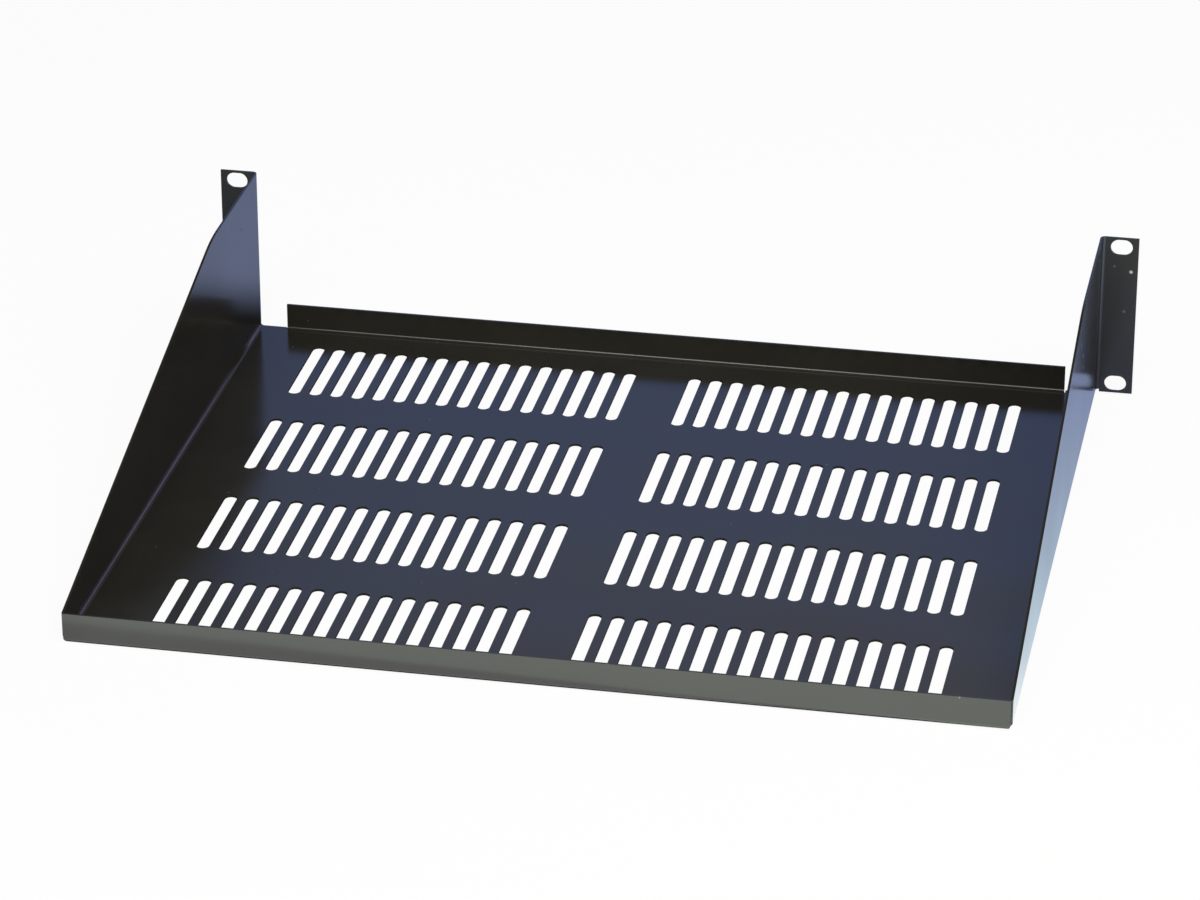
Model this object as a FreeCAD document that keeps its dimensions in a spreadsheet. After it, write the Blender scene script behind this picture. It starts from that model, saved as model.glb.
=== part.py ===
# Vented cantilever shelf for a 19-inch rack, two units high, cut and folded from one sheet of steel.
#
# +X runs across the rack, +Y from the free end towards the mounting ears, +Z up. The origin is the middle
# of the footprint, on the underside of the floor. The right half is folded up feature by feature and then
# mirrored, because the shelf is the same on both sides.

import FreeCAD, Part
import math
import os
import Sketcher

# Driving dimensions in millimetres, each with a name of its own in the sheet
DIMENSIONS = {
    "overall_depth": 368.0,
    "overall_height": 88.1,
    "overall_width": 482.6,
    "sheet_thickness": 1.2,
    "inner_bend_radius": 1.6,
    "ear_width": 18.55,
    "ear_bottom": 1.4,
    "ear_slot_from_side": 8.75,
    "ear_slot_from_end": 5.25,
    "ear_slot_length": 11.2,
    "ear_slot_width": 8.4,
    "gusset_front_height": 15.0,
    "gusset_flat_length": 90.6,
    "gusset_kink_radius": 80.0,
    "near_lip_height": 15.4,
    "near_lip_end_inset": 0.8,
    "corner_seam": 0.6,
    "corner_relief": 1.2,
    "far_lip_height": 14.8,
    "far_lip_end_gap": 15.95,
    "far_lip_slit": 0.6,
    "vent_length": 59.0,
    "vent_width": 6.4,
    "vent_group_gap": 34.24,
    "vents_from_gusset": 38.83,
    "vents_from_front": 44.5,
    "vents_from_rear": 53.5,
}

# How many ventilation slots lie side by side in a group, and how many rows there are
COUNTS = {"vents_per_group": 16, "vent_rows": 4}

# Short flats that make up each round end of a ventilation slot: they leave the circle by a sixteenth of a
# millimetre at most, and keep the 128 slots light
VENT_END_FLATS = 8


class Size:
    """A length or a count that knows its value and the expression that gives it in the document."""

    def __init__(self, value, text):
        self.value = value
        self.text = text

    def combine(self, other, sign, value):
        return Size(value, f"({self.text} {sign} {as_size(other).text})")

    def __add__(self, other):
        return self.combine(other, "+", self.value + as_size(other).value)

    def __sub__(self, other):
        return self.combine(other, "-", self.value - as_size(other).value)

    def __mul__(self, other):
        return self.combine(other, "*", self.value * as_size(other).value)

    def __truediv__(self, other):
        return self.combine(other, "/", self.value / as_size(other).value)

    def __neg__(self):
        return Size(-self.value, f"(0 - {self.text})")


def as_size(number):
    return number if isinstance(number, Size) else Size(number, str(number))


def fill_sheet(sheet, values):
    """Writes each value into a row of its own, with its name beside it, and returns the named sizes."""
    named = {}
    for row, (name, value) in enumerate(values.items(), start=1):
        sheet.set(f"A{row}", name)
        sheet.set(f"B{row}", str(value))
        sheet.setAlias(f"B{row}", name)
        named[name] = Size(value, f"{sheet.Name}.{name}")
    return named


def bind(feature, name, size):
    setattr(feature, name, as_size(size).value)
    feature.setExpression(name, as_size(size).text)


# Sketches

LINE_START, LINE_END, CENTRE = 1, 2, 3
ORIGIN = (-1, 1)


def origin_plane(body, role):
    return next(item for item in body.Origin.OriginFeatures if item.Role == role)


def new_sketch(body, label, plane_role, offset=0):
    """A sketch on one of the body's own planes, moved along that plane's normal by the offset."""
    sketch = body.newObject("Sketcher::SketchObject", label)
    sketch.AttachmentSupport = [(origin_plane(body, plane_role), "")]
    sketch.MapMode = "FlatFace"
    sketch.setExpression(".AttachmentOffset.Base.z", as_size(offset).text)
    return sketch


def constrain(sketch, kind, places, size):
    """Adds a driving constraint between the places and ties it to the size."""
    index = sketch.addConstraint(Sketcher.Constraint(kind, *places, as_size(size).value))
    if isinstance(size, Size):
        sketch.setExpression(f"Constraints[{index}]", size.text)


def locate(sketch, geometry, end, point):
    constrain(sketch, "DistanceX", (*ORIGIN, geometry, end), point[0])
    constrain(sketch, "DistanceY", (*ORIGIN, geometry, end), point[1])


def vector(point):
    return FreeCAD.Vector(as_size(point[0]).value, as_size(point[1]).value, 0)


def arc_between(start, end, radius, turn):
    """The short arc from start to end, with its centre on the left for turn +1, on the right for -1."""
    chord = end - start
    towards_centre = FreeCAD.Vector(-chord.y, chord.x, 0).normalize() * turn
    rise = math.sqrt(radius**2 - chord.Length**2 / 4)
    centre = start + chord / 2 + towards_centre * rise
    first, last = (start, end) if turn > 0 else (end, start)
    first_angle = math.atan2(first.y - centre.y, first.x - centre.x)
    last_angle = math.atan2(last.y - centre.y, last.x - centre.x)
    if last_angle < first_angle:
        last_angle += 2 * math.pi
    circle = Part.Circle(centre, FreeCAD.Vector(0, 0, 1), radius)
    return Part.ArcOfCircle(circle, first_angle, last_angle)


def draw_outline(sketch, corners):
    """Draws a closed outline through the corners, in order.

    A corner is (x, y) where the side that arrives there is straight, or (x, y, radius, turn) where it is
    an arc that turns left (+1) or right (-1).
    """
    sides = []
    for index, corner in enumerate(corners):
        start, end = vector(corners[index - 1]), vector(corner)
        if len(corner) == 2:
            side = sketch.addGeometry(Part.LineSegment(start, end))
            sides.append((side, LINE_START, LINE_END))
            continue
        radius, turn = corner[2:]
        side = sketch.addGeometry(arc_between(start, end, radius.value, turn))
        ends = (LINE_START, LINE_END) if turn > 0 else (LINE_END, LINE_START)
        sides.append((side, *ends))
        constrain(sketch, "Radius", (side,), radius)
    for index, corner in enumerate(corners):
        side, start, end = sides[index]
        before, _, before_end = sides[index - 1]
        sketch.addConstraint(Sketcher.Constraint("Coincident", before, before_end, side, start))
        locate(sketch, side, end, corner)


def round_corner(sketch, arriving, leaving, radius):
    """Rounds the corner where one side arrives and the next one leaves."""
    near = sketch.Geometry[arriving]
    far = sketch.Geometry[leaving]
    middles = ((line.StartPoint + line.EndPoint) / 2 for line in (near, far))
    sketch.fillet(arriving, leaving, *middles, radius.value, True, True)
    arc = next(
        index for index, item in enumerate(sketch.Geometry) if isinstance(item, Part.ArcOfCircle)
    )
    constrain(sketch, "Radius", (arc,), radius)


def draw_slot(sketch, centre, length, width):
    """Draws a lying slot with full round ends, each half a turn about a centre of its own."""
    radius = width / 2
    reach = (length - width) / 2
    right = (centre[0] + reach, centre[1])
    left = (centre[0] - reach, centre[1])
    sides = []
    for middle, other, turn in ((right, left, +1), (left, right, -1)):
        circle = Part.Circle(vector(middle), FreeCAD.Vector(0, 0, 1), radius.value)
        start = -turn * math.pi / 2
        edge = FreeCAD.Vector(0, radius.value * turn, 0)
        arc = sketch.addGeometry(Part.ArcOfCircle(circle, start, start + math.pi))
        line = sketch.addGeometry(Part.LineSegment(vector(middle) + edge, vector(other) + edge))
        locate(sketch, arc, CENTRE, middle)
        sides += [arc, line]
    for index, side in enumerate(sides):
        before = sides[index - 1]
        sketch.addConstraint(Sketcher.Constraint("Tangent", before, LINE_END, side, LINE_START))
    constrain(sketch, "Radius", (sides[0],), radius)
    sketch.addConstraint(Sketcher.Constraint("Equal", sides[0], sides[2]))


def vent_corners(centre, length, width):
    """The corners of an upright slot, with each round end drawn as equal flats of its circle."""
    radius = width / 2
    reach = (length - width) / 2
    corners = []
    for middle, first_angle in ((centre[1] + reach, 0), (centre[1] - reach, math.pi)):
        for flat in range(VENT_END_FLATS + 1):
            angle = first_angle + math.pi * flat / VENT_END_FLATS
            across = radius * round(math.cos(angle), 6)
            along = radius * round(math.sin(angle), 6)
            corners.append((centre[0] + across, middle + along))
    return corners


# Features


def pad(body, label, sketch, length, backwards=False):
    """Adds the sketched section, along the sketch's normal or backwards from it."""
    feature = body.newObject("PartDesign::Pad", label)
    feature.Profile = sketch
    feature.Reversed = backwards
    bind(feature, "Length", length)
    finish(feature)
    return feature


def pocket(body, label, sketch, depth=None, forwards=False):
    """Cuts the sketched section away, to the depth or right through the sheet on both sides."""
    before = body.Shape.Volume
    feature = body.newObject("PartDesign::Pocket", label)
    feature.Profile = sketch
    if depth is None:
        feature.SideType = "Symmetric"
        feature.Type = "ThroughAll"
    else:
        feature.Reversed = forwards
        bind(feature, "Length", depth)
    finish(feature)
    if body.Shape.Volume >= before:
        raise ValueError(f"{label} cuts nothing away")
    return feature


def finish(feature):
    feature.Refine = True
    feature.Document.recompute()


# The shelf


def fold_channel(body, at):
    """Floor and right gusset, folded up along the floor's edge with one bend."""
    section = new_sketch(body, "channel_section", "XZ_Plane", -at["gusset_front"])
    draw_outline(
        section,
        [
            (0, 0),
            (at["gusset_face"] - at["bend"], 0),
            (at["gusset_face"], at["bend"], at["bend"], +1),
            (at["gusset_face"], at["top"]),
            (at["gusset_face"] - at["sheet"], at["top"]),
            (at["gusset_face"] - at["sheet"], at["bend"]),
            (at["gusset_face"] - at["bend"], at["sheet"], at["inner_bend"], -1),
            (0, at["sheet"]),
        ],
    )
    pad(body, "channel", section, at["tray_rear"] - at["gusset_front"], backwards=True)


def slope_gusset(body, at, size):
    """Cuts the gusset's top edge: level by the ear, a wide round kink, then straight down to the lip."""
    side = new_sketch(body, "gusset_slope", "YZ_Plane")
    above = at["top"] + at["bend"]
    draw_outline(
        side,
        [
            (at["rear"] - size["gusset_flat_length"], at["top"]),
            (at["tray_rear"], at["top"]),
            (at["tray_rear"], above),
            (at["gusset_front"], above),
            (at["gusset_front"], size["gusset_front_height"]),
        ],
    )
    round_corner(side, 0, 1, size["gusset_kink_radius"])
    pocket(body, "gusset_slope_cut", side)


def fold_near_lip(body, at, size):
    """Clears the front corner and folds the near lip up across it, with a rounded lower corner."""
    clearing = new_sketch(body, "front_clearing", "XY_Plane")
    outside = at["gusset_face"] + at["bend"]
    relief_end = at["front"] + at["bend"] + size["corner_relief"]
    draw_outline(
        clearing,
        [
            (-at["bend"], at["front"]),
            (outside, at["front"]),
            (outside, relief_end),
            (at["gusset_face"] - at["bend"], relief_end),
            (at["gusset_face"] - at["bend"], at["front"] + at["bend"]),
            (-at["bend"], at["front"] + at["bend"]),
        ],
    )
    pocket(body, "front_clearing_cut", clearing, at["bend"], forwards=True)

    lip_end = at["gusset_face"] - size["near_lip_end_inset"]
    section = new_sketch(body, "near_lip_section", "YZ_Plane")
    draw_outline(
        section,
        [
            (at["front"] + at["bend"], 0),
            (at["front"], at["bend"], at["bend"], -1),
            (at["front"], size["near_lip_height"]),
            (at["front"] + at["sheet"], size["near_lip_height"]),
            (at["front"] + at["sheet"], at["bend"]),
            (at["front"] + at["bend"], at["sheet"], at["inner_bend"], +1),
        ],
    )
    pad(body, "near_lip", section, lip_end)

    corner = new_sketch(body, "near_lip_corner", "XZ_Plane", -at["front"])
    draw_outline(
        corner,
        [
            (lip_end - at["bend"], 0),
            (lip_end, at["bend"], at["bend"], +1),
            (outside, at["bend"]),
            (outside, -at["bend"]),
            (lip_end - at["bend"], -at["bend"]),
        ],
    )
    pocket(body, "near_lip_corner_cut", corner, at["bend"])


def fold_far_lip(body, at, size):
    """Slits the floor's rear edge beside the far lip and folds the lip up between the slits."""
    lip_end = at["gusset_face"] - size["far_lip_end_gap"]
    clearing = new_sketch(body, "rear_clearing", "XY_Plane")
    draw_outline(
        clearing,
        [
            (-at["bend"], at["tray_rear"] - at["bend"]),
            (lip_end + size["far_lip_slit"], at["tray_rear"] - at["bend"]),
            (lip_end + size["far_lip_slit"], at["tray_rear"] + at["bend"]),
            (-at["bend"], at["tray_rear"] + at["bend"]),
        ],
    )
    pocket(body, "rear_clearing_cut", clearing, at["bend"], forwards=True)

    section = new_sketch(body, "far_lip_section", "YZ_Plane")
    draw_outline(
        section,
        [
            (at["tray_rear"] - at["bend"], 0),
            (at["tray_rear"], at["bend"], at["bend"], +1),
            (at["tray_rear"], size["far_lip_height"]),
            (at["tray_rear"] - at["sheet"], size["far_lip_height"]),
            (at["tray_rear"] - at["sheet"], at["bend"]),
            (at["tray_rear"] - at["bend"], at["sheet"], at["inner_bend"], -1),
        ],
    )
    pad(body, "far_lip", section, lip_end)


def fold_ear(body, at, size):
    """Folds the mounting ear outwards from the gusset's rear edge and pierces its two slots."""
    plan = new_sketch(body, "ear_plan", "XY_Plane", size["ear_bottom"])
    bend_end = at["gusset_face"] + at["inner_bend"]
    draw_outline(
        plan,
        [
            (at["gusset_face"] - at["sheet"], at["tray_rear"]),
            (bend_end, at["rear"], at["bend"], -1),
            (size["overall_width"] / 2, at["rear"]),
            (size["overall_width"] / 2, at["rear"] - at["sheet"]),
            (bend_end, at["rear"] - at["sheet"]),
            (at["gusset_face"], at["tray_rear"], at["inner_bend"], +1),
        ],
    )
    pad(body, "ear", plan, at["top"] - size["ear_bottom"])

    notch = new_sketch(body, "ear_bend_notch", "XY_Plane")
    draw_outline(
        notch,
        [
            (at["gusset_face"] - at["bend"], at["tray_rear"]),
            (bend_end, at["tray_rear"]),
            (bend_end, at["rear"] + at["bend"]),
            (at["gusset_face"] - at["bend"], at["rear"] + at["bend"]),
        ],
    )
    pocket(body, "ear_bend_notch_cut", notch, at["bend"], forwards=True)

    slots = new_sketch(body, "ear_slots", "XZ_Plane")
    across = size["overall_width"] / 2 - size["ear_slot_from_side"]
    for height in (at["top"] - size["ear_slot_from_end"], size["ear_bottom"] + size["ear_slot_from_end"]):
        draw_slot(slots, (across, height), size["ear_slot_length"], size["ear_slot_width"])
    pocket(body, "ear_slots_cut", slots)


def mirror_half(body):
    """Mirrors the folded right half across the middle of the shelf."""
    whole = body.newObject("PartDesign::Mirrored", "both_halves")
    whole.TransformMode = "Whole shape"
    whole.MirrorPlane = (origin_plane(body, "YZ_Plane"), [""])
    body.Tip = whole
    finish(whole)


def pierce_vents(body, at, size, count):
    """Pierces one ventilation slot, repeats it over its group and the rows, and mirrors the group."""
    vent = new_sketch(body, "vent", "XY_Plane")
    innermost = size["vent_group_gap"] / 2
    first_row = at["front"] + size["vents_from_front"]
    draw_outline(vent, vent_corners((innermost, first_row), size["vent_length"], size["vent_width"]))
    first = pocket(body, "vent_cut", vent)

    grid = body.newObject("PartDesign::LinearPattern", "vent_grid")
    grid.Direction = (vent, ["H_Axis"])
    grid.Direction2 = (vent, ["V_Axis"])
    bind(grid, "Length", at["gusset_face"] - size["vents_from_gusset"] - innermost)
    bind(grid, "Length2", at["rear"] - size["vents_from_rear"] - first_row)
    bind(grid, "Occurrences", count["vents_per_group"])
    bind(grid, "Occurrences2", count["vent_rows"])
    groups = body.newObject("PartDesign::Mirrored", "vent_groups")
    groups.MirrorPlane = (origin_plane(body, "YZ_Plane"), [""])

    vents = body.newObject("PartDesign::MultiTransform", "vents")
    vents.Originals = [first]
    vents.Transformations = [grid, groups]
    body.Tip = vents
    vents.Document.recompute()
    if len(vents.Shape.Faces) <= len(first.Shape.Faces):
        raise ValueError("the ventilation slots weren't repeated")


def build_shelf(doc, size, count):
    body = doc.addObject("PartDesign::Body", "rack_shelf")
    body.Label = "rack_shelf"
    sheet = size["sheet_thickness"]
    bend = sheet + size["inner_bend_radius"]
    front = -size["overall_depth"] / 2
    rear = size["overall_depth"] / 2
    at = {
        "sheet": sheet,
        "inner_bend": size["inner_bend_radius"],
        "bend": bend,
        "top": size["overall_height"],
        "gusset_face": size["overall_width"] / 2 - size["ear_width"],
        "front": front,
        "gusset_front": front + sheet + size["corner_seam"],
        "rear": rear,
        "tray_rear": rear - bend,
    }
    fold_channel(body, at)
    slope_gusset(body, at, size)
    fold_near_lip(body, at, size)
    fold_far_lip(body, at, size)
    fold_ear(body, at, size)
    mirror_half(body)
    pierce_vents(body, at, size, count)
    return body


def check_document(doc, body):
    """Stops if any object failed, or if the shelf isn't one sound solid."""
    for item in doc.Objects:
        if "Invalid" in item.State or "Error" in item.State:
            raise ValueError(f"{item.Label} failed: {item.State}")
    shape = body.Shape
    if shape.isNull() or not shape.isValid() or len(shape.Solids) != 1:
        raise ValueError(f"{body.Label} isn't one valid solid")


doc = FreeCAD.newDocument("rack_shelf")
size_sheet = doc.addObject("Spreadsheet::Sheet", "sizes")
size = fill_sheet(size_sheet, DIMENSIONS)
count_sheet = doc.addObject("Spreadsheet::Sheet", "counts")
count = fill_sheet(count_sheet, COUNTS)
doc.recompute()

shelf = build_shelf(doc, size, count)
doc.recompute()
check_document(doc, shelf)

os.makedirs("parts", exist_ok=True)
shelf.Shape.exportStep(f"parts/{shelf.Label}.step")
bounds = shelf.Shape.BoundBox
print(f"{shelf.Label}: {bounds.XLength:.2f} x {bounds.YLength:.2f} x {bounds.ZLength:.2f} mm,")
print(f"volume {shelf.Shape.Volume:.1f} mm3, {len(shelf.Shape.Faces)} faces")
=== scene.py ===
# Looks of the vented cantilever rack shelf: one folded sheet in black powder coat, in a pale studio
import math

import bpy
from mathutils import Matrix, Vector


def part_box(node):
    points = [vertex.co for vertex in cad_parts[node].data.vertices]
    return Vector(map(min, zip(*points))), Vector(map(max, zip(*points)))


MM = 0.001

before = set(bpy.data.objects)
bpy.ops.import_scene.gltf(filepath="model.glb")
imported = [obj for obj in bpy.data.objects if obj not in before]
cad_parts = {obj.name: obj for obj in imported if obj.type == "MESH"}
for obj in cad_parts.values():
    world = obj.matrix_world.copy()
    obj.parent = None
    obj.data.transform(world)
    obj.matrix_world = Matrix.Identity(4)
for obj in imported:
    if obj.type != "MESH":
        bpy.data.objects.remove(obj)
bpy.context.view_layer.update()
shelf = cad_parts["rack_shelf"]
shelf_low, shelf_high = (Vector(corner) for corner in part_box("rack_shelf"))

# The sheet's thickness, and the faces that the marks lie on
SHEET = 1.2 * MM
GUSSET_FACE = 222.75 * MM
EAR_FACE = shelf_high.y - SHEET
FLOOR_FACE = shelf_low.z + SHEET

# The photograph's own marks: where each lies, its radius, and how strongly it shows
PALE_MARKS = (
    ((237.9 * MM, EAR_FACE, 69.7 * MM), 0.9 * MM, 1.0),
    ((229.3 * MM, EAR_FACE, 72.3 * MM), 0.6 * MM, 0.2),
    ((235.3 * MM, EAR_FACE, 47.5 * MM), 0.9 * MM, 0.15),
    ((198.5 * MM, shelf_low.y, 15.0 * MM), 0.5 * MM, 0.3),
    ((-198.0 * MM, 157.0 * MM, FLOOR_FACE), 0.5 * MM, 0.15),
)
DULL_MARKS = (
    ((GUSSET_FACE, 86.1 * MM, 70.2 * MM), 0.9 * MM, 1.0),
    ((GUSSET_FACE, 97.4 * MM, 59.7 * MM), 1.1 * MM, 1.0),
    ((GUSSET_FACE, 103.2 * MM, 51.1 * MM), 0.9 * MM, 1.0),
    ((SHEET - GUSSET_FACE, 147.8 * MM, 70.4 * MM), 0.9 * MM, 1.0),
    ((221.0 * MM, shelf_low.y, 15.0 * MM), 0.7 * MM, 1.0),
)

# A mark is full within the first of these shares of its radius and gone past the second, with a ragged rim
MARK_FULL, MARK_GONE = 0.3, 1.3
RIM_SIZE = 0.8 * MM
RAGGEDNESS = 1.6

# Dust: the size of its cells, the share of them with a speck, where in a cell a speck is full and gone
DUST_SPACING = 9 * MM
DUST_SHARE = 0.3
SPECK_FULL, SPECK_GONE = 0.025, 0.055
DUST_STRENGTH = 0.6

# Colours of the coat and its marks
COAT_DARK = (0.0165, 0.0153, 0.0115)
COAT_LIGHT = (0.0220, 0.0205, 0.0155)
PALE_PAINT = (0.50, 0.54, 0.62)
DUST_PAINT = (0.16, 0.16, 0.20)

# The coat's skin: its refraction, the sizes of its peel and clouds, and the heights of its relief
COAT_IOR = 1.5
PEEL_SIZE, CLOUD_SIZE = 1.4 * MM, 70 * MM
PEEL_HEIGHT, WAVE_HEIGHT = 0.05 * MM, 0.9 * MM

# The clouds at which the coat is darkest and lightest, its roughness over all of them, and what a mark adds
CLOUD_DARK, CLOUD_LIGHT = 0.3, 0.7
GLOSSIEST, DULLEST = 0.16, 0.22
MARK_ROUGHNESS = 0.4

# Tones of the studio, as linear colours
WHITE = (1, 1, 1, 1)
PAPER = (0.86, 0.86, 0.86, 1)
ROOM = (0.62, 0.66, 0.70, 1)
KEY_GLOW = (1.0, 0.98, 0.94)
BACK_GLOW = (0.28, 0.43, 1.0)
BEND_GLOW = (0.58, 0.50, 1.0)
CARD_GLOW = (0.80, 1.0, 0.80)

# Strength of the room's light, and how much of the paper is pure white to the camera
ROOM_STRENGTH = 0.12
CAMERA_WHITE = 0.94

# The paper as gloss mirrors it, as painted light: painted tones that dim from the front to the rear of a
# stretch along Y, and their strength
PAINTED_REFLECTION_TONES = (
    (0.0, (0.98, 1.0, 1.0)),
    (0.22, (0.50, 0.61, 0.71)),
    (0.5, (0.33, 0.42, 0.52)),
    (1.0, (0.17, 0.20, 0.36)),
)
TONES_FRONT, TONES_REAR = -0.2, 0.2
PAINTED_REFLECTION_STRENGTH = 2.0
LEAST_GLOW = 0.05

# Painted light on the mirrored paper: painted shade that dims it to the left and painted light that brightens
# it to the right, as two places along X and the light at each
PAINTED_SHADE_LEFT = (-0.32, -0.20, 0.35, 1.0)
PAINTED_LIGHT_RIGHT = (0.25, 0.36, 0.0, 1.4)

# How far behind the shelf the painted shade under it fades from the mirrored paper
SHADE_LENGTH = 0.07

# The paper: its width, and how far it lies below the shelf
FLOOR_WIDTH = 14
FLOOR_GAP = 0.2 * MM

# Softboxes that face the shelf: name, place, width and height, colour, and brightness, where 1 is white
SOFTBOXES = (
    ("key_softbox", (0.95, -0.95, 1.3), (1.8, 1.8), KEY_GLOW, 3.2),
    ("front_softbox", (-0.3, -2.4, 2.2), (2.4, 1.4), KEY_GLOW, 3.0),
    ("strip_softbox", (-0.40, -1.62, 2.0), (0.5, 1.65), KEY_GLOW, 4.0),
    ("back_softbox", (-0.365, 2.6, 1.15), (1.13, 0.64), BACK_GLOW, 0.72),
    ("upper_softbox", (-0.365, 2.6, 1.74), (1.13, 0.56), KEY_GLOW, 0.26),
    ("low_softbox", (0.85, 2.5, 0.45), (1.5, 0.45), BEND_GLOW, 2.0),
)

# The bright card that lies before the near lip with its face up
CARD_PLACE = (0.090, -0.399, -0.1 * MM)
CARD_SPIN = 3
CARD_SIZE = (1.2, 0.42)
CARD_BRIGHTNESS = 0.9

# The photograph's camera: lens and sensor in millimetres, place, and degrees above and to the right
LENS, SENSOR = 148.52, 36
CAMERA_PLACE = (0.41505, -2.14132, 1.08506)
VIEW_ABOVE, VIEW_RIGHT = 25.739, 11.036

# Inputs and outputs that share their labels in Blender's Mix and Map Range nodes, by their order in the node
MIX_MASK, MIX_UNDER, MIX_OVER, MIX_RESULT = 0, 6, 7, 2
RANGE_VALUE, RANGE_FROM_LOW, RANGE_FROM_HIGH, RANGE_TO_LOW, RANGE_TO_HIGH = 6, 7, 8, 9, 10


def add_node(tree, kind, **settings):
    """Adds a node and gives it its settings, which are its input sockets' values or its own choices."""
    node = tree.nodes.new(kind)
    for name, value in settings.items():
        label = name.replace("_", " ").title()
        if label in node.inputs:
            node.inputs[label].default_value = value
        else:
            setattr(node, name, value)
    return node


def math_node(tree, operation, first, second):
    """Adds a maths node whose two terms are numbers or sockets, and returns its result."""
    node = tree.nodes.new("ShaderNodeMath")
    node.operation = operation
    for socket, term in zip(node.inputs, (first, second)):
        if isinstance(term, (int, float)):
            socket.default_value = term
        else:
            tree.links.new(term, socket)
    return node.outputs[0]


def smooth_change(tree, value, start, end, first, last):
    """Goes smoothly from the first number to the last while the value goes from start to end."""
    change = add_node(
        tree, "ShaderNodeMapRange", interpolation_type="SMOOTHSTEP",
        from_min=start, from_max=end, to_min=first, to_max=last,
    )
    tree.links.new(value, change.inputs["Value"])
    return change.outputs["Result"]


def new_group(name, inputs, outputs):
    """Starts a shader node group and returns its tree with its input and output nodes."""
    tree = bpy.data.node_groups.new(name, "ShaderNodeTree")
    for way, sockets in (("INPUT", inputs), ("OUTPUT", outputs)):
        for label, kind in sockets:
            tree.interface.new_socket(name=label, in_out=way, socket_type=kind)
    return tree, tree.nodes.new("NodeGroupInput"), tree.nodes.new("NodeGroupOutput")


def place_group(tree, group, place, **values):
    """Places a group in a material, joined to the place on the surface, with its own values."""
    node = tree.nodes.new("ShaderNodeGroup")
    node.node_tree = group
    tree.links.new(place, node.inputs["Place"])
    for name, value in values.items():
        node.inputs[name.replace("_", " ").title()].default_value = value
    return node


def powder_grain_group():
    """The skin of a baked powder coat: fine orange peel, broad faint changes of gloss, and slow waves."""
    tree, given, result = new_group(
        "powder grain",
        [
            ("Place", "NodeSocketVector"),
            ("Grain Size", "NodeSocketFloat"),
            ("Cloud Size", "NodeSocketFloat"),
        ],
        [("Height", "NodeSocketFloat"), ("Cloud", "NodeSocketFloat"), ("Wave", "NodeSocketFloat")],
    )
    grain_scale = math_node(tree, "DIVIDE", 1.0, given.outputs["Grain Size"])
    cloud_scale = math_node(tree, "DIVIDE", 1.0, given.outputs["Cloud Size"])
    peel = add_node(tree, "ShaderNodeTexNoise", detail=2.0, roughness=0.55)
    cloud = add_node(tree, "ShaderNodeTexNoise", detail=3.0, roughness=0.6)
    wave = add_node(tree, "ShaderNodeTexNoise", detail=0.0)
    for texture, scale, output in (
        (peel, grain_scale, "Height"),
        (cloud, cloud_scale, "Cloud"),
        (wave, cloud_scale, "Wave"),
    ):
        tree.links.new(given.outputs["Place"], texture.inputs["Vector"])
        tree.links.new(scale, texture.inputs["Scale"])
        tree.links.new(texture.outputs["Fac"], result.inputs[output])
    return tree


def marks_group(name, marks):
    """Small round marks with ragged rims: the mask is each one's strength inside it and 0 elsewhere."""
    tree, given, result = new_group(name, [("Place", "NodeSocketVector")], [("Mask", "NodeSocketFloat")])
    rim = add_node(tree, "ShaderNodeTexNoise", scale=1 / RIM_SIZE, detail=2.0)
    tree.links.new(given.outputs["Place"], rim.inputs["Vector"])
    ragged = math_node(tree, "MULTIPLY", rim.outputs["Fac"], RAGGEDNESS)
    mask = None
    for centre, radius, strength in marks:
        reach = add_node(tree, "ShaderNodeVectorMath", operation="DISTANCE")
        reach.inputs[1].default_value = centre
        tree.links.new(given.outputs["Place"], reach.inputs[0])
        inwards = add_node(
            tree, "ShaderNodeMapRange",
            from_min=MARK_GONE * radius, from_max=MARK_FULL * radius, to_max=strength,
        )
        tree.links.new(reach.outputs["Value"], inwards.inputs["Value"])
        mark = math_node(tree, "MULTIPLY", inwards.outputs["Result"], ragged)
        mask = mark if mask is None else math_node(tree, "MAXIMUM", mask, mark)
    tree.links.new(math_node(tree, "MINIMUM", mask, 1.0), result.inputs["Mask"])
    return tree


def dust_group():
    """Sparse fine dust: one speck in some of the cells that the surface is divided into."""
    tree, given, result = new_group(
        "fine dust",
        [("Place", "NodeSocketVector"), ("Spacing", "NodeSocketFloat"), ("Share", "NodeSocketFloat")],
        [("Mask", "NodeSocketFloat")],
    )
    cells = tree.nodes.new("ShaderNodeTexVoronoi")
    tree.links.new(given.outputs["Place"], cells.inputs["Vector"])
    tree.links.new(math_node(tree, "DIVIDE", 1.0, given.outputs["Spacing"]), cells.inputs["Scale"])
    speck = add_node(tree, "ShaderNodeMapRange", from_min=SPECK_GONE, from_max=SPECK_FULL)
    tree.links.new(cells.outputs["Distance"], speck.inputs["Value"])
    number = tree.nodes.new("ShaderNodeSeparateColor")
    tree.links.new(cells.outputs["Color"], number.inputs[0])
    chosen = math_node(tree, "LESS_THAN", number.outputs[0], given.outputs["Share"])
    tree.links.new(math_node(tree, "MULTIPLY", speck.outputs["Result"], chosen), result.inputs["Mask"])
    return tree


def tint(tree, base, mask, colour):
    """Lays a colour over another where the mask is 1, and returns the result."""
    mix = add_node(tree, "ShaderNodeMix", data_type="RGBA")
    mix.inputs[MIX_OVER].default_value = (*colour, 1)
    tree.links.new(mask, mix.inputs[MIX_MASK])
    tree.links.new(base, mix.inputs[MIX_UNDER])
    return mix.outputs[MIX_RESULT]


def bump(tree, height, **settings):
    """Adds a bump node that turns a height into a normal."""
    node = add_node(tree, "ShaderNodeBump", **settings)
    tree.links.new(height, node.inputs["Height"])
    return node


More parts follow.
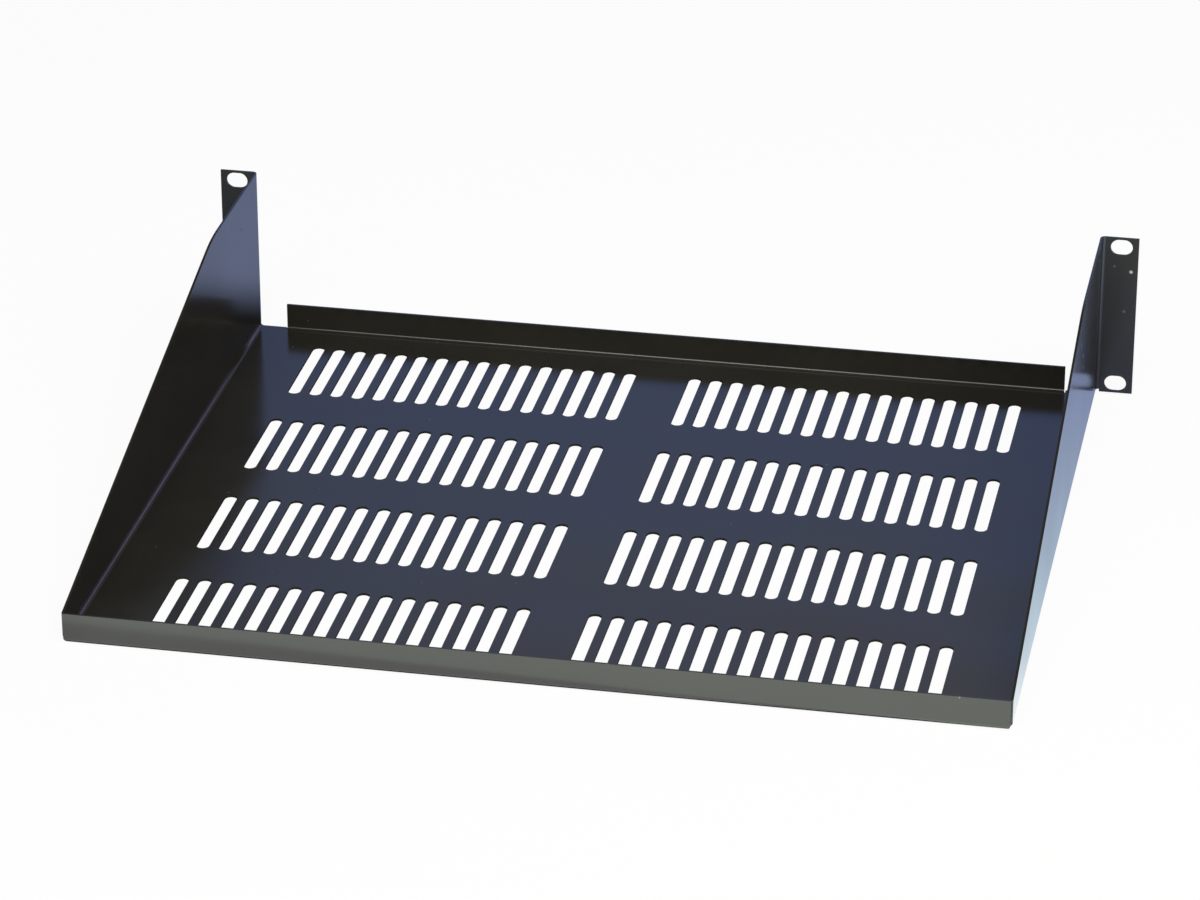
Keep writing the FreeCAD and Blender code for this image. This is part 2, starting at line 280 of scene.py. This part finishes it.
def black_powder_coat():
    """Near-black satin powder coat over the whole sheet, with its marks and a little dust."""
    material = bpy.data.materials.new("black_powder_coat")
    material.use_nodes = True
    tree = material.node_tree
    shader = tree.nodes["Principled BSDF"]
    shader.inputs["IOR"].default_value = COAT_IOR
    place = tree.nodes.new("ShaderNodeTexCoord").outputs["Object"]

    grain = place_group(tree, powder_grain_group(), place, grain_size=PEEL_SIZE, cloud_size=CLOUD_SIZE)
    cloud = grain.outputs["Cloud"]
    pale = place_group(tree, marks_group("pale marks", PALE_MARKS), place).outputs["Mask"]
    dull = place_group(tree, marks_group("dull marks", DULL_MARKS), place).outputs["Mask"]
    dust = place_group(tree, dust_group(), place, spacing=DUST_SPACING, share=DUST_SHARE).outputs["Mask"]

    colour = add_node(tree, "ShaderNodeMapRange", data_type="FLOAT_VECTOR")
    colour.inputs[RANGE_FROM_LOW].default_value = (CLOUD_DARK,) * 3
    colour.inputs[RANGE_FROM_HIGH].default_value = (CLOUD_LIGHT,) * 3
    colour.inputs[RANGE_TO_LOW].default_value = COAT_DARK
    colour.inputs[RANGE_TO_HIGH].default_value = COAT_LIGHT
    tree.links.new(cloud, colour.inputs[RANGE_VALUE])
    dusting = math_node(tree, "MULTIPLY", dust, DUST_STRENGTH)
    dusted = tint(tree, colour.outputs["Vector"], dusting, DUST_PAINT)
    tree.links.new(tint(tree, dusted, pale, PALE_PAINT), shader.inputs["Base Color"])

    gloss = add_node(tree, "ShaderNodeMapRange", to_min=GLOSSIEST, to_max=DULLEST)
    tree.links.new(cloud, gloss.inputs["Value"])
    matt = math_node(tree, "MULTIPLY", math_node(tree, "MAXIMUM", pale, dull), MARK_ROUGHNESS)
    tree.links.new(math_node(tree, "ADD", gloss.outputs["Result"], matt), shader.inputs["Roughness"])

    waves = bump(tree, grain.outputs["Wave"], strength=1.0, distance=WAVE_HEIGHT)
    peel = bump(tree, grain.outputs["Height"], strength=0.1, distance=PEEL_HEIGHT)
    tree.links.new(waves.outputs["Normal"], peel.inputs["Normal"])
    tree.links.new(peel.outputs["Normal"], shader.inputs["Normal"])
    return material


def painted_paper_reflection(tree):
    """The paper's tone in a reflection, as painted light: white at the front, bluer and dimmer behind, and
    dark with painted shade under the shelf.
    """
    place = tree.nodes.new("ShaderNodeSeparateXYZ")
    tree.links.new(tree.nodes.new("ShaderNodeTexCoord").outputs["Object"], place.inputs[0])
    across, along = place.outputs["X"], place.outputs["Y"]
    backwards = add_node(tree, "ShaderNodeMapRange", from_min=TONES_FRONT, from_max=TONES_REAR)
    tree.links.new(along, backwards.inputs["Value"])
    tone = tree.nodes.new("ShaderNodeValToRGB")
    ramp = tone.color_ramp
    ramp.interpolation = "B_SPLINE"
    ramp.elements.remove(ramp.elements[1])
    for index, (stop, colour) in enumerate(PAINTED_REFLECTION_TONES):
        element = ramp.elements.new(stop) if index else ramp.elements[0]
        element.position = stop
        element.color = (*colour, 1)
    tree.links.new(backwards.outputs["Result"], tone.inputs[0])

    # Painted shade: the mirrored paper goes dark under the shelf, between the gussets and behind the near
    # lip, and fades out behind it
    right_of_left = math_node(tree, "GREATER_THAN", across, -GUSSET_FACE)
    left_of_right = math_node(tree, "LESS_THAN", across, GUSSET_FACE)
    between_gussets = math_node(tree, "MULTIPLY", right_of_left, left_of_right)
    behind_lip = math_node(tree, "GREATER_THAN", along, shelf_low.y)
    shade = smooth_change(tree, along, shelf_high.y, shelf_high.y + SHADE_LENGTH, 1.0, 0.0)
    painted_shade_under_shelf = math_node(tree, "MULTIPLY", math_node(tree, "MULTIPLY", between_gussets, behind_lip), shade)
    # Painted shade that dims the mirrored paper to the left and painted light that brightens it to the right
    painted_dimming_left = smooth_change(tree, across, *PAINTED_SHADE_LEFT)
    painted_brightening_right = smooth_change(tree, across, *PAINTED_LIGHT_RIGHT)
    painted_light_across = math_node(tree, "ADD", painted_dimming_left, painted_brightening_right)
    light = math_node(tree, "MULTIPLY", painted_light_across, math_node(tree, "SUBTRACT", 1.0, painted_shade_under_shelf))
    strength = math_node(tree, "MULTIPLY", light, PAINTED_REFLECTION_STRENGTH)
    return tone.outputs["Color"], math_node(tree, "MAXIMUM", strength, LEAST_GLOW)


def mix_looks(tree, mask, under, over):
    """Mixes two shaders: the second shows where the mask is 1."""
    mix = tree.nodes.new("ShaderNodeMixShader")
    for socket, source in zip(mix.inputs, (mask, under, over)):
        tree.links.new(source, socket)
    return mix.outputs[0]


def paper_sweep():
    """White paper that bounces light and takes the shadow, and that the camera sees close to pure white."""
    material = bpy.data.materials.new("paper_sweep")
    material.use_nodes = True
    tree = material.node_tree
    tree.nodes.clear()
    paper = add_node(tree, "ShaderNodeBsdfDiffuse", color=PAPER)
    white = add_node(tree, "ShaderNodeEmission", color=WHITE, strength=1.0)
    # What gloss sees of the paper is a painted reflection: a glow in painted tones, brighter than white at
    # the front, with painted shade and light by place
    reflection = tree.nodes.new("ShaderNodeEmission")
    tone, light = painted_paper_reflection(tree)
    tree.links.new(tone, reflection.inputs["Color"])
    tree.links.new(light, reflection.inputs["Strength"])
    rays = tree.nodes.new("ShaderNodeLightPath").outputs
    seen = math_node(tree, "MULTIPLY", rays["Is Camera Ray"], CAMERA_WHITE)
    look = paper.outputs[0]
    for mask, glow in ((seen, white), (rays["Is Glossy Ray"], reflection)):
        look = mix_looks(tree, mask, look, glow.outputs[0])
    tree.links.new(look, tree.nodes.new("ShaderNodeOutputMaterial").inputs["Surface"])
    return material


def lay_floor():
    """A wide sheet of paper under the shelf."""
    bpy.ops.mesh.primitive_plane_add(size=FLOOR_WIDTH, location=(0, 0, shelf_low.z - FLOOR_GAP))
    floor = bpy.context.object
    floor.name = "studio_floor"
    floor.data.materials.append(paper_sweep())


def light_room():
    """A dim room for the light that comes from everywhere, and white wherever the camera looks past."""
    world = bpy.data.worlds.new("studio")
    bpy.context.scene.world = world
    world.use_nodes = True
    tree = world.node_tree
    tree.nodes.clear()
    room = add_node(tree, "ShaderNodeBackground", color=ROOM, strength=ROOM_STRENGTH)
    white = add_node(tree, "ShaderNodeBackground", color=WHITE, strength=1.0)
    seen = tree.nodes.new("ShaderNodeLightPath").outputs["Is Camera Ray"]
    look = mix_looks(tree, seen, room.outputs[0], white.outputs[0])
    tree.links.new(look, tree.nodes.new("ShaderNodeOutputWorld").inputs["Surface"])


def add_softbox(name, place, turn, size, glow, brightness):
    """Adds a flat softbox whose face has the given brightness, where 1 is white."""
    lamp = bpy.data.lights.new(name, "AREA")
    lamp.shape = "RECTANGLE"
    lamp.size, lamp.size_y = size
    lamp.color = glow
    lamp.energy = brightness * math.pi * size[0] * size[1]
    softbox = bpy.data.objects.new(name, lamp)
    bpy.context.scene.collection.objects.link(softbox)
    softbox.location = place
    softbox.rotation_euler = turn
    softbox.visible_camera = False


def set_lamps():
    """Three softboxes before the shelf, three behind it, and a bright card that lies before the near lip."""
    for name, place, size, glow, brightness in SOFTBOXES:
        facing_shelf = (-Vector(place)).to_track_quat("-Z", "Y").to_euler()
        add_softbox(name, place, facing_shelf, size, glow, brightness)
    face_up = (math.pi, 0, math.radians(CARD_SPIN))
    add_softbox("front_card", CARD_PLACE, face_up, CARD_SIZE, CARD_GLOW, CARD_BRIGHTNESS)


def set_camera():
    """The photograph's own view: 11 degrees to the right of the free end and 26 degrees above it."""
    lens = bpy.data.cameras.new("camera")
    lens.lens = LENS
    lens.sensor_width = SENSOR
    lens.sensor_fit = "HORIZONTAL"
    camera = bpy.data.objects.new("camera", lens)
    camera.location = CAMERA_PLACE
    camera.rotation_euler = (math.radians(90 - VIEW_ABOVE), 0, math.radians(VIEW_RIGHT))
    bpy.context.scene.collection.objects.link(camera)
    bpy.context.scene.camera = camera


shelf.data.materials.clear()
shelf.data.materials.append(black_powder_coat())
lay_floor()
light_room()
set_lamps()
set_camera()
bpy.context.scene.view_settings.view_transform = "Standard"
